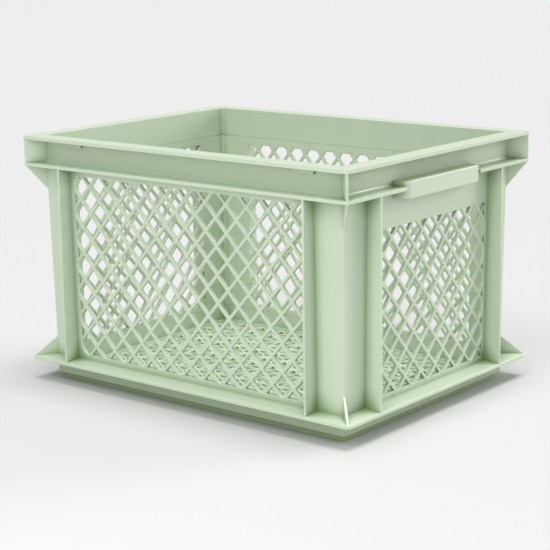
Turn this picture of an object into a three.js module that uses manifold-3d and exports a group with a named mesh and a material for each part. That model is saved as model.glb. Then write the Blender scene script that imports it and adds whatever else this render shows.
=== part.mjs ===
// A stacking bike crate in one plastic: diamond grid walls, corner posts, a flanged rim and a star floor.
// Millimetres, +Z up. The origin is at the middle of the footprint, on the ground.
import * as THREE from "three";
import { mergeGeometries, mergeVertices } from "three/addons/utils/BufferGeometryUtils.js";
import Module from "manifold-3d";

const wasm = await Module();
wasm.setup();

// Overall size
const LENGTH = 400;
const WIDTH = 300;
const HEIGHT = 249;

// Rim: a channel made of two flanges and the band between them
const RIM_DEPTH = 15;
const RIM_EDGE = 3.5;
const RIM_CORNER_RADIUS = 3;
const BAND_WALL = 2.5;
const BAND_FILLET = 3;
const CHANNEL_GAP = 23.3;
const LOWER_FLANGE = 3;

// Small blocks that stiffen the top flange near the ends of the long sides
const BLOCK_LENGTH = 23;
const BLOCK_DEPTH = 2.6;
const BLOCK_HEIGHT = 5.5;
const BLOCK_FROM_END = 57.5;

// Walls, which lean inwards towards the base
const WALL = 3.5;
const DRAFT = 2.5;
const POST_FACE = 25;
const POST_RADIUS = 4;
const INNER_RADIUS = 2;

// Diamond grid
const DIAMOND_WIDTH = 25;
const DIAMOND_HEIGHT = 27;
const DIAMOND_BAR = 3.2;
const GRID_BELOW_FLANGE = 7.7;
const GRID_BELOW_HANDLE = 34.7;
const GRID_ABOVE_BASE = 5.5;
const GRID_TO_RIB = 5.4;
const GRID_CORNER = 7;
const ROW_OFFSET = 4.5;
const SMALLEST_HOLE = 40;

// Upright ribs and diagonal webs
const RIB = 2.3;
const LONG_RIB_FROM_END = 48.6;
const SHORT_RIB_FROM_END = 50;
const WEB = 2.4;
const UPPER_GUSSET = 26;
const BASE_GUSSET = 21;
const GUSSET_TIP = 1;

// Grip on each short side, which narrows towards its front
const GRIP_WIDTH = 127;
const GRIP_TAPER = 5;
const GRIP_HEIGHT = 16;
const GRIP_WALL = 2.5;
const GRIP_BELOW_FLANGE = 8;
const GRIP_EDGE_RADIUS = 3.5;

// Base flange, stacking foot and floor
const BASE_UNDERSIDE = 20.5;
const BASE_EDGE = 3.5;
const BASE_RISE = 1.5;
const BASE_CORNER_RADIUS = 5;
const SKIRT_BOTTOM = 6;
const LEDGE = 3;
const FOOT_INSET = 4;
const FOOT_WALL = 3;
const FLOOR_TOP = 8;
const FLOOR_PLATE = 6;
const FLOOR_COLUMNS = 10;
const FLOOR_ROWS = 6;
const FLOOR_BAR = 3;
const FLOOR_BORDER = 2;

// Regions of the moulding that meet on a slope keep this clearance
const SEAM = 0.1;
// How far a cutter, or the root of a joined piece, runs past the face that it crosses
const OVERRUN = 1;
// Points closer than this are one point
const SAME_POINT = 1e-4;
const ARC_STEPS = 3;

// Heights that follow
const BAND_TOP = HEIGHT - RIM_EDGE;
const FLANGE_TOP = BAND_TOP - CHANNEL_GAP;
const FLANGE_UNDERSIDE = FLANGE_TOP - LOWER_FLANGE;
const BASE_TOP = BASE_UNDERSIDE + BASE_EDGE + BASE_RISE;
const WALL_HEIGHT = FLANGE_UNDERSIDE - BASE_TOP;
const LEAN = DRAFT / WALL_HEIGHT;
const GRIP_BOTTOM = FLANGE_UNDERSIDE - GRIP_BELOW_FLANGE;
const GRIP_TOP = GRIP_BOTTOM + GRIP_HEIGHT;

// Insets from the outer edge
const WALL_INSET = RIM_DEPTH;
const SKIRT_INSET = WALL_INSET + DRAFT;
const FOOT_OUTSIDE = SKIRT_INSET + FOOT_INSET;
const FOOT_INSIDE = FOOT_OUTSIDE + FOOT_WALL;
const CORNER_REACH = WALL_INSET + POST_FACE;

const PLASTIC = new THREE.MeshStandardMaterial({ color: 0xb3c4a8, roughness: 0.5, metalness: 0 });

const LONG_SIDE = {
  run: LENGTH,
  out: WIDTH / 2,
  ribAt: LENGTH / 2 - LONG_RIB_FROM_END,
  gridDrop: GRID_BELOW_FLANGE,
  short: false,
};

const SHORT_SIDE = {
  run: WIDTH,
  out: LENGTH / 2,
  ribAt: WIDTH / 2 - SHORT_RIB_FROM_END,
  gridDrop: GRID_BELOW_FLANGE,
  short: true,
};

// The four sides, each turned about Z from the side that faces -Y. Only the right wall is plain at its grip.
const SIDES = [
  { name: "front", turn: 0, ...LONG_SIDE },
  { name: "right", turn: Math.PI / 2, ...SHORT_SIDE, gridDrop: GRID_BELOW_HANDLE },
  { name: "rear", turn: Math.PI, ...LONG_SIDE },
  { name: "left", turn: -Math.PI / 2, ...SHORT_SIDE },
];

const CORNERS = [
  { name: "front_right", x: 1, y: -1 },
  { name: "rear_right", x: 1, y: 1 },
  { name: "rear_left", x: -1, y: 1 },
  { name: "front_left", x: -1, y: -1 },
];

// A closed geometry as a solid that can be joined and cut
function toSolid(geometry) {
  const bare = geometry.clone();
  bare.deleteAttribute("normal");
  bare.deleteAttribute("uv");
  const merged = mergeVertices(bare, SAME_POINT);
  const vertProperties = new Float32Array(merged.attributes.position.array);
  const triVerts = new Uint32Array(merged.index.array);
  return new wasm.Manifold(new wasm.Mesh({ numProp: 3, vertProperties, triVerts }));
}

// A solid back as a geometry
function toGeometry(solid) {
  const { vertProperties, triVerts } = solid.getMesh();
  const geometry = new THREE.BufferGeometry();
  geometry.setAttribute("position", new THREE.BufferAttribute(vertProperties, 3));
  geometry.setIndex(new THREE.BufferAttribute(triVerts, 1));
  const faceted = geometry.toNonIndexed();
  faceted.computeVertexNormals();
  return faceted;
}

function makeMesh(name, geometry, turn = 0) {
  const mesh = new THREE.Mesh(geometry, PLASTIC.clone());
  mesh.name = name;
  mesh.rotation.z = turn;
  return mesh;
}

function box(x0, x1, y0, y1, z0, z1) {
  const geometry = new THREE.BoxGeometry(x1 - x0, y1 - y0, z1 - z0);
  geometry.translate((x0 + x1) / 2, (y0 + y1) / 2, (z0 + z1) / 2);
  return toSolid(geometry);
}

function shapeOf(points) {
  return new THREE.Shape(points.map(([x, y]) => new THREE.Vector2(x, y)));
}

// A profile of (y, z) points, extruded along X between two places
function extrudeAlongX(profile, x0, x1) {
  const geometry = new THREE.ExtrudeGeometry(shapeOf(profile), { depth: x1 - x0, bevelEnabled: false });
  const place = new THREE.Matrix4().set(0, 0, 1, x0, 1, 0, 0, 0, 0, 1, 0, 0, 0, 0, 0, 1);
  return geometry.applyMatrix4(place);
}

// Points of a rounded rectangle, anticlockwise, the same count for every size and radius
function roundedRectangle(halfX, halfY, radius) {
  const points = [];
  for (let corner = 0; corner < 4; corner++) {
    const signX = corner === 0 || corner === 3 ? 1 : -1;
    const signY = corner < 2 ? 1 : -1;
    for (let step = 0; step <= ARC_STEPS; step++) {
      const angle = ((corner + step / ARC_STEPS) * Math.PI) / 2;
      const x = signX * (halfX - radius) + radius * Math.cos(angle);
      const y = signY * (halfY - radius) + radius * Math.sin(angle);
      points.push([x, y]);
    }
  }
  return points;
}

// A closed ring: each station of the section gives an inset, a height and a corner radius
function ringFromSection(section) {
  const rings = section.map(({ inset, z, radius }) =>
    roundedRectangle(LENGTH / 2 - inset, WIDTH / 2 - inset, radius).map(([x, y]) => [x, y, z]),
  );
  const count = rings[0].length;
  const index = [];
  rings.forEach((_, i) => {
    const next = (i + 1) % rings.length;
    for (let j = 0; j < count; j++) {
      const k = (j + 1) % count;
      const a = i * count + j;
      const b = i * count + k;
      const c = next * count + k;
      const d = next * count + j;
      index.push(a, b, c, a, c, d);
    }
  });
  const geometry = new THREE.BufferGeometry();
  geometry.setAttribute("position", new THREE.Float32BufferAttribute(rings.flat(2), 3));
  geometry.setIndex(index);
  return toSolid(geometry);
}

// Rim: top flange, band, lower flange, with a fillet where the band meets the lower flange
function makeRimRing() {
  const flange = (inset, z) => ({ inset, z, radius: RIM_CORNER_RADIUS });
  const band = (inset, z) => ({ inset, z, radius: POST_RADIUS });
  const inside = (z) => ({ inset: RIM_DEPTH + BAND_WALL, z, radius: INNER_RADIUS });
  const fillet = [];
  for (let step = 0; step <= ARC_STEPS; step++) {
    const angle = ((step / ARC_STEPS) * Math.PI) / 2;
    const inset = RIM_DEPTH - BAND_FILLET * (1 - Math.sin(angle));
    const z = FLANGE_TOP + BAND_FILLET * (1 - Math.cos(angle));
    fillet.push(band(inset, z));
  }
  return ringFromSection([
    flange(0, BAND_TOP),
    flange(0, HEIGHT),
    inside(HEIGHT),
    inside(FLANGE_UNDERSIDE),
    flange(0, FLANGE_UNDERSIDE),
    flange(0, FLANGE_TOP),
    ...fillet,
    band(RIM_DEPTH, BAND_TOP),
  ]);
}

// Base: flange, short skirt, ledge and the stacking foot, which fits inside the rim of a crate below
function makeBaseRing() {
  const flange = (z) => ({ inset: 0, z, radius: BASE_CORNER_RADIUS });
  const outside = (inset, z) => ({ inset, z, radius: POST_RADIUS });
  const inside = (inset, z) => ({ inset, z, radius: INNER_RADIUS });
  return ringFromSection([
    flange(BASE_UNDERSIDE),
    flange(BASE_UNDERSIDE + BASE_EDGE),
    outside(SKIRT_INSET, BASE_TOP),
    inside(SKIRT_INSET + WALL, BASE_TOP),
    inside(SKIRT_INSET + WALL, SKIRT_BOTTOM + LEDGE),
    inside(FOOT_INSIDE, SKIRT_BOTTOM + LEDGE),
    inside(FOOT_INSIDE, 0),
    outside(FOOT_OUTSIDE, 0),
    outside(FOOT_OUTSIDE, SKIRT_BOTTOM),
    outside(SKIRT_INSET, SKIRT_BOTTOM),
    outside(SKIRT_INSET, BASE_UNDERSIDE),
  ]);
}

// Points of a convex outline moved inwards by a distance
function insetOutline(points, distance) {
  const lines = points.map(([x, y], i) => {
    const [nextX, nextY] = points[(i + 1) % points.length];
    const length = Math.hypot(nextX - x, nextY - y);
    const normal = [-(nextY - y) / length, (nextX - x) / length];
    return { normal, offset: normal[0] * x + normal[1] * y + distance };
  });
  return lines.map((line, i) => {
    const before = lines[(i + lines.length - 1) % lines.length];
    const cross = before.normal[0] * line.normal[1] - before.normal[1] * line.normal[0];
    const x = (before.offset * line.normal[1] - line.offset * before.normal[1]) / cross;
    const y = (line.offset * before.normal[0] - before.offset * line.normal[0]) / cross;
    return [x, y];
  });
}

// The part of a convex outline that lies inside another convex outline, both anticlockwise
function clipOutline(points, window) {
  return window.reduce((kept, [x, y], i) => {
    const [nextX, nextY] = window[(i + 1) % window.length];
    const side = ([px, py]) => (nextX - x) * (py - y) - (nextY - y) * (px - x);
    const result = [];
    kept.forEach((point, j) => {
      const following = kept[(j + 1) % kept.length];
      const here = side(point);
      const there = side(following);
      if (here >= 0) result.push(point);
      if (here * there < 0) {
        const share = here / (here - there);
        const crossing = point.map((value, axis) => value + share * (following[axis] - value));
        result.push(crossing);
      }
    });
    return result;
  }, points);
}

function areaOf(points) {
  const doubled = points.reduce((sum, [x, y], i) => {
    const [nextX, nextY] = points[(i + 1) % points.length];
    return sum + x * nextY - nextX * y;
  }, 0);
  return doubled / 2;
}

// A rectangle with its corners cut off
function windowOutline(halfX, z0, z1, cut) {
  return [
    [-halfX + cut, z0],
    [halfX - cut, z0],
    [halfX, z0 + cut],
    [halfX, z1 - cut],
    [halfX - cut, z1],
    [-halfX + cut, z1],
    [-halfX, z1 - cut],
    [-halfX, z0 + cut],
  ];
}

// The holes of a diamond grid: whole diamonds, and those that the border cuts
function diamondHoles(halfX, z0, z1, shifted) {
  const border = windowOutline(halfX, z0, z1, GRID_CORNER);
  const stepX = DIAMOND_WIDTH / 2;
  const stepZ = DIAMOND_HEIGHT / 2;
  const topRow = z1 + ROW_OFFSET;
  const columns = Math.ceil(halfX / stepX) + 1;
  const rows = Math.ceil((z1 - z0) / stepZ) + 2;
  const holes = [];
  for (let row = 0; row <= rows; row++) {
    for (let column = -columns; column <= columns; column++) {
      if ((row + column + (shifted ? 1 : 0)) % 2 !== 0) continue;
      const x = column * stepX;
      const z = topRow - row * stepZ;
      const diamond = [[x, z - stepZ], [x + stepX, z], [x, z + stepZ], [x - stepX, z]];
      const hole = clipOutline(insetOutline(diamond, DIAMOND_BAR / 2), border);
      if (hole.length > 2 && areaOf(hole) > SMALLEST_HOLE) holes.push(hole);
    }
  }
  return holes;
}

// An outline pushed up along Z
function prism(outline, z0, z1) {
  const geometry = new THREE.ExtrudeGeometry(shapeOf(outline), { depth: z1 - z0, bevelEnabled: false });
  return geometry.translate(0, 0, z0);
}

// A plate with holes, flat in X and Y, from Z 0 up
function pierced(outline, holes, thickness) {
  const cutters = holes.map((hole) => prism(hole, -OVERRUN, thickness + OVERRUN));
  const plate = toSolid(prism(outline, 0, thickness));
  return toGeometry(plate.subtract(toSolid(mergeGeometries(cutters))));
}

// Grid wall of one side, standing between the base and the lower flange, leaning with the draft
function makeWall(side) {
  const halfRun = side.run / 2 - CORNER_REACH;
  const gridHalf = side.ribAt - RIB / 2 - GRID_TO_RIB;
  const gridTop = FLANGE_UNDERSIDE - side.gridDrop;
  const gridBottom = BASE_TOP + GRID_ABOVE_BASE;
  const holes = diamondHoles(gridHalf, gridBottom, gridTop, side.short);
  const outline = [
    [-halfRun, BASE_TOP],
    [halfRun, BASE_TOP],
    [halfRun, FLANGE_UNDERSIDE],
    [-halfRun, FLANGE_UNDERSIDE],
  ];
  const geometry = pierced(outline, holes, WALL);
  const innerFace = -side.out + WALL_INSET + WALL + LEAN * FLANGE_UNDERSIDE;
  const stand = new THREE.Matrix4().set(1, 0, 0, 0, 0, -LEAN, -1, innerFace, 0, 1, 0, 0, 0, 0, 0, 1);
  geometry.applyMatrix4(stand);
  return makeMesh(`${side.name}_grid_wall`, geometry, side.turn);
}

// Upright rib at one end of a side, as deep as the flanges
function makeRib(side, end) {
  const wallAt = (z) => -side.out + WALL_INSET + LEAN * (FLANGE_UNDERSIDE - z) - SEAM;
  const baseAt = (y) => BASE_UNDERSIDE + BASE_EDGE + (BASE_RISE * (y + side.out)) / SKIRT_INSET + SEAM;
  const root = wallAt(BASE_TOP);
  const profile = [
    [-side.out, baseAt(-side.out)],
    [root, baseAt(root)],
    [wallAt(FLANGE_UNDERSIDE), FLANGE_UNDERSIDE],
    [-side.out, FLANGE_UNDERSIDE],
  ];
  const middle = end * side.ribAt;
  const geometry = extrudeAlongX(profile, middle - RIB / 2, middle + RIB / 2);
  const place = end < 0 ? "a" : "b";
  return makeMesh(`${side.name}_rib_${place}`, geometry, side.turn);
}

// Straight stretch of a ring between two corners, in the frame of the side that faces -Y
function stretchOf(ring, side, z0, z1) {
  const halfRun = side.run / 2 - CORNER_REACH;
  const turned = ring.rotate([0, 0, (-side.turn * 180) / Math.PI]);
  const from = -side.out - OVERRUN;
  return turned.intersect(box(-halfRun, halfRun, from, 0, z0 - OVERRUN, z1 + OVERRUN));
}

// Rim of one side, with its blocks on a long side and room for the grip on a short one
function makeRim(side, ring) {
  let solid = stretchOf(ring, side, FLANGE_UNDERSIDE, HEIGHT);
  const face = -side.out + RIM_DEPTH;
  if (side.short) {
    const half = GRIP_WIDTH / 2;
    solid = solid.subtract(box(-half, half, -side.out - OVERRUN, face, GRIP_BOTTOM, GRIP_TOP));
  } else {
    for (const end of [-1, 1]) {
      const middle = end * (side.run / 2 - BLOCK_FROM_END);
      const from = middle - BLOCK_LENGTH / 2;
      const out = face - BLOCK_DEPTH;
      const low = BAND_TOP - BLOCK_HEIGHT;
      solid = solid.add(box(from, from + BLOCK_LENGTH, out, face + OVERRUN, low, BAND_TOP + OVERRUN));
    }
  }
  return makeMesh(`${side.name}_rim`, toGeometry(solid), side.turn);
}

function makeBase(side, ring) {
  const solid = stretchOf(ring, side, 0, BASE_TOP);
  return makeMesh(`${side.name}_base`, toGeometry(solid), side.turn);
}

// Hollow grip on a short side, open below for the fingers
function makeGrip(side) {
  const half = GRIP_WIDTH / 2;
  const front = -side.out;
  const back = front + RIM_DEPTH;
  const radius = GRIP_EDGE_RADIUS;
  const frontHalf = half - GRIP_TAPER;
  const shoulder = frontHalf + (GRIP_TAPER * radius) / RIM_DEPTH;
  const outline = new THREE.Shape();
  outline.moveTo(half, back);
  outline.lineTo(-half, back);
  outline.lineTo(-shoulder, front + radius);
  outline.quadraticCurveTo(-frontHalf, front, -frontHalf + radius, front);
  outline.lineTo(frontHalf - radius, front);
  outline.quadraticCurveTo(frontHalf, front, shoulder, front + radius);
  const body = new THREE.ExtrudeGeometry(outline, {
    depth: GRIP_HEIGHT,
    bevelEnabled: false,
    curveSegments: ARC_STEPS,
  });
  body.translate(0, 0, GRIP_BOTTOM);
  const inside = frontHalf - GRIP_WALL;
  const roof = GRIP_TOP - GRIP_WALL;
  const low = GRIP_BOTTOM - OVERRUN;
  const hollow = box(-inside, inside, front + GRIP_WALL, back + OVERRUN, low, roof);
  return makeMesh(`${side.name}_grip`, toGeometry(toSolid(body).subtract(hollow)), side.turn);
}

// Outline of the post wall where it stands in by a distance, seen from above in the corner at +X, +Y
function postOutline(standIn) {
  const endX = LENGTH / 2 - CORNER_REACH;
  const endY = WIDTH / 2 - CORNER_REACH;
  const faceAt = (inset, radius) => {
    const outX = LENGTH / 2 - inset - standIn;
    const outY = WIDTH / 2 - inset - standIn;
    const arc = [];
    for (let step = 0; step <= ARC_STEPS; step++) {
      const angle = ((step / ARC_STEPS) * Math.PI) / 2;
      arc.push([outX - radius * (1 - Math.cos(angle)), outY - radius * (1 - Math.sin(angle))]);
    }
    return [[outX, endY], ...arc, [endX, outY]];
  };
  return [...faceAt(WALL_INSET, POST_RADIUS), ...faceAt(WALL_INSET + WALL, INNER_RADIUS).reverse()];
}

// A solid between two outlines with the same number of points
function loft(lower, z0, upper, z1) {
  const count = lower.length;
  const points = [...lower.map(([x, y]) => [x, y, z0]), ...upper.map(([x, y]) => [x, y, z1])];
  const index = [];
  for (let i = 0; i < count; i++) {
    const j = (i + 1) % count;
    index.push(i, j, count + j, i, count + j, count + i);
  }
  const contour = lower.map(([x, y]) => new THREE.Vector2(x, y));
  for (const [a, b, c] of THREE.ShapeUtils.triangulateShape(contour, [])) {
    index.push(c, b, a, count + a, count + b, count + c);
  }
  const geometry = new THREE.BufferGeometry();
  geometry.setAttribute("position", new THREE.Float32BufferAttribute(points.flat(), 3));
  geometry.setIndex(index);
  return toSolid(geometry);
}

// Diagonal plate outside a post, from a profile of (reach, z) measured from the axis of the post's edge
function makeWeb(profile) {
  const plate = extrudeAlongX(profile, -WEB / 2, WEB / 2);
  plate.rotateZ(-Math.PI / 4);
  plate.translate(LENGTH / 2 - WALL_INSET - POST_RADIUS, WIDTH / 2 - WALL_INSET - POST_RADIUS, 0);
  return toSolid(plate);
}

// How far a flange corner reaches along the diagonal from the axis of the post's edge
function flangeReach(cornerRadius) {
  return (WALL_INSET + POST_RADIUS - cornerRadius) * Math.SQRT2 + cornerRadius;
}

// The share of a ring that lies in the corner at +X, +Y
function cornerOf(ring) {
  const fromX = LENGTH / 2 - CORNER_REACH;
  const fromY = WIDTH / 2 - CORNER_REACH;
  const toX = LENGTH / 2 + OVERRUN;
  const toY = WIDTH / 2 + OVERRUN;
  return ring.intersect(box(fromX, toX, fromY, toY, -OVERRUN, HEIGHT + OVERRUN));
}

// A solid made in the corner at +X, +Y, mirrored into its own corner
function cornerMesh(corner, part, solid) {
  return makeMesh(`${corner.name}_${part}`, toGeometry(solid.scale([corner.x, corner.y, 1])));
}

// Rim corner, with the diagonal web between its flanges
function makeRimCorner(corner, ring) {
  const root = POST_RADIUS - BAND_WALL / 2;
  const reach = flangeReach(RIM_CORNER_RADIUS) - WEB / 2;
  const low = FLANGE_TOP - LOWER_FLANGE / 2;
  const high = BAND_TOP + RIM_EDGE / 2;
  const web = makeWeb([[root, low], [reach, low], [reach, high], [root, high]]);
  return cornerMesh(corner, "rim_corner", cornerOf(ring).add(web));
}

// Corner post: an angled shell that leans in with the walls, braced to both flanges by diagonal gussets
function makePost(corner) {
  const root = POST_RADIUS - WALL / 2;
  const skirtReach = POST_RADIUS - DRAFT * Math.SQRT2;
  const lowRoot = skirtReach - WALL / 2;
  const rimReach = flangeReach(RIM_CORNER_RADIUS) - WEB / 2;
  const baseReach = flangeReach(BASE_CORNER_RADIUS) - WEB / 2;
  const tipHeight = BASE_UNDERSIDE + BASE_EDGE + SEAM;
  const shell = loft(postOutline(DRAFT), BASE_TOP, postOutline(0), FLANGE_UNDERSIDE);
  const upper = makeWeb([
    [root, FLANGE_UNDERSIDE - UPPER_GUSSET],
    [rimReach, FLANGE_UNDERSIDE - GUSSET_TIP],
    [rimReach, FLANGE_UNDERSIDE],
    [root, FLANGE_UNDERSIDE],
  ]);
  const lower = makeWeb([
    [lowRoot, BASE_TOP + SEAM],
    [skirtReach, BASE_TOP + SEAM],
    [baseReach, tipHeight],
    [baseReach, tipHeight + GUSSET_TIP],
    [lowRoot, tipHeight + BASE_GUSSET],
  ]);
  return cornerMesh(corner, "post", shell.add(upper).add(lower));
}

function makeBaseCorner(corner, ring) {
  return cornerMesh(corner, "base_corner", cornerOf(ring));
}

// The two triangular gaps of a floor cell, with the diagonal leaning left or right
function cellHoles(x0, y0, x1, y1, leansRight) {
  const triangles = leansRight
    ? [[[x0, y0], [x1, y0], [x1, y1]], [[x0, y0], [x1, y1], [x0, y1]]]
    : [[[x0, y0], [x1, y0], [x0, y1]], [[x1, y0], [x1, y1], [x0, y1]]];
  return triangles.map((triangle) => insetOutline(triangle, FLOOR_BAR / 2));
}

// Floor plate inside the foot, pierced so that its bars meet in stars
function makeFloor() {
  const halfX = LENGTH / 2 - FOOT_INSIDE;
  const halfY = WIDTH / 2 - FOOT_INSIDE;
  const gridX = halfX - FLOOR_BORDER + FLOOR_BAR / 2;
  const gridY = halfY - FLOOR_BORDER + FLOOR_BAR / 2;
  const stepX = (2 * gridX) / FLOOR_COLUMNS;
  const stepY = (2 * gridY) / FLOOR_ROWS;
  const holes = [];
  for (let row = 0; row < FLOOR_ROWS; row++) {
    for (let column = 0; column < FLOOR_COLUMNS; column++) {
      const x = -gridX + column * stepX;
      const y = -gridY + row * stepY;
      holes.push(...cellHoles(x, y, x + stepX, y + stepY, (row + column) % 2 === 0));
    }
  }
  const outline = roundedRectangle(halfX - SEAM, halfY - SEAM, INNER_RADIUS);
  const geometry = pierced(outline, holes, FLOOR_PLATE);
  geometry.translate(0, 0, FLOOR_TOP - FLOOR_PLATE);
  return makeMesh("floor_grid", geometry);
}

function buildCrate() {
  const crate = new THREE.Group();
  const rimRing = makeRimRing();
  const baseRing = makeBaseRing();
  for (const side of SIDES) {
    crate.add(makeWall(side));
    crate.add(makeRim(side, rimRing));
    crate.add(makeBase(side, baseRing));
    for (const end of [-1, 1]) crate.add(makeRib(side, end));
    if (side.short) crate.add(makeGrip(side));
  }
  for (const corner of CORNERS) {
    crate.add(makeRimCorner(corner, rimRing));
    crate.add(makePost(corner));
    crate.add(makeBaseCorner(corner, baseRing));
  }
  crate.add(makeFloor());
  return crate;
}

const group = buildCrate();

export default group;
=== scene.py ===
"""A stacking bike crate in pale green plastic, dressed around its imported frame. Metres, +Z up."""

import logging
import math
from dataclasses import dataclass
from enum import Enum
from typing import Callable, Iterable, Union

import bmesh
import bpy
from mathutils import Matrix, Vector


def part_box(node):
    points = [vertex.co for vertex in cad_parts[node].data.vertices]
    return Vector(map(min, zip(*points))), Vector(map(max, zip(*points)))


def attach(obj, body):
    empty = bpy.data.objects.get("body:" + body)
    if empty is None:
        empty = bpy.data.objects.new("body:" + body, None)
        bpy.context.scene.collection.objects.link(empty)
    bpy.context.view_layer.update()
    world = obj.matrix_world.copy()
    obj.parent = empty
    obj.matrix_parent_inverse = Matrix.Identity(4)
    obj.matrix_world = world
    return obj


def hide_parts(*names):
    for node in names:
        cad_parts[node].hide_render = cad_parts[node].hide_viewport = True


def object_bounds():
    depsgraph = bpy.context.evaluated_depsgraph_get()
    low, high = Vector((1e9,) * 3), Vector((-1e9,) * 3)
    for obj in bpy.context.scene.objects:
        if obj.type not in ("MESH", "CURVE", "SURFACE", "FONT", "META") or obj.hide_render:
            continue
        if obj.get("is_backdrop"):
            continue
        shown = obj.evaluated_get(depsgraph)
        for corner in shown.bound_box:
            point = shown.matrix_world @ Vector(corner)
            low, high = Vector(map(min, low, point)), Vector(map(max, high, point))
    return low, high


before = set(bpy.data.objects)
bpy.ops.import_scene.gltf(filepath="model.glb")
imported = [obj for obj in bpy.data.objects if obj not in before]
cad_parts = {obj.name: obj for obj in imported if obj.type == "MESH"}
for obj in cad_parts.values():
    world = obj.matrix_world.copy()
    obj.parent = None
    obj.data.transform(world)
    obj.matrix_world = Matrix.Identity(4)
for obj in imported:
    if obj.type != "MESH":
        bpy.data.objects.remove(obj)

MM = 0.001
BODY = "root"
STACK_START = 1.0
STACK_STEP = 0.01
WELD = 0.01 * MM
ON_PLANE = 0.02 * MM
NEAR = 0.05 * MM
LEVEL = 0.5
SMOOTH_BELOW = 35
SOFT_STEPS = 3
OPENNESS_SAMPLES = 8
MIX_COLOURS = (6, 7)
MIX_RESULT = 2
LOG = logging.getLogger("bike_crate")

Number = Union[float, "Signal"]
Colour = Union[tuple[float, float, float], "Signal"]


class Kind(Enum):
    """The kinds of mesh element that can be picked."""

    VERT = "verts"
    EDGE = "edges"
    FACE = "faces"


class Side(Enum):
    """The crate's four sides, by the turn about Z that carries the front onto them."""

    FRONT = 0
    RIGHT = 1
    REAR = 2
    LEFT = 3

    @property
    def label(self) -> str:
        """The side's name, as the frame's nodes spell it."""
        return self.name.lower()

    @property
    def turn(self) -> float:
        """The side's turn about Z, in radians."""
        return self.value * math.pi / 2

    @property
    def is_short(self) -> bool:
        """Whether this is one of the two short sides."""
        return self in (Side.RIGHT, Side.LEFT)


class Corner(Enum):
    """The crate's four corners, by the signs of X and Y there."""

    FRONT_RIGHT = (1, -1)
    REAR_RIGHT = (1, 1)
    REAR_LEFT = (-1, 1)
    FRONT_LEFT = (-1, -1)

    @property
    def label(self) -> str:
        """The corner's name, as the frame's nodes spell it."""
        return self.name.lower()


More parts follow.
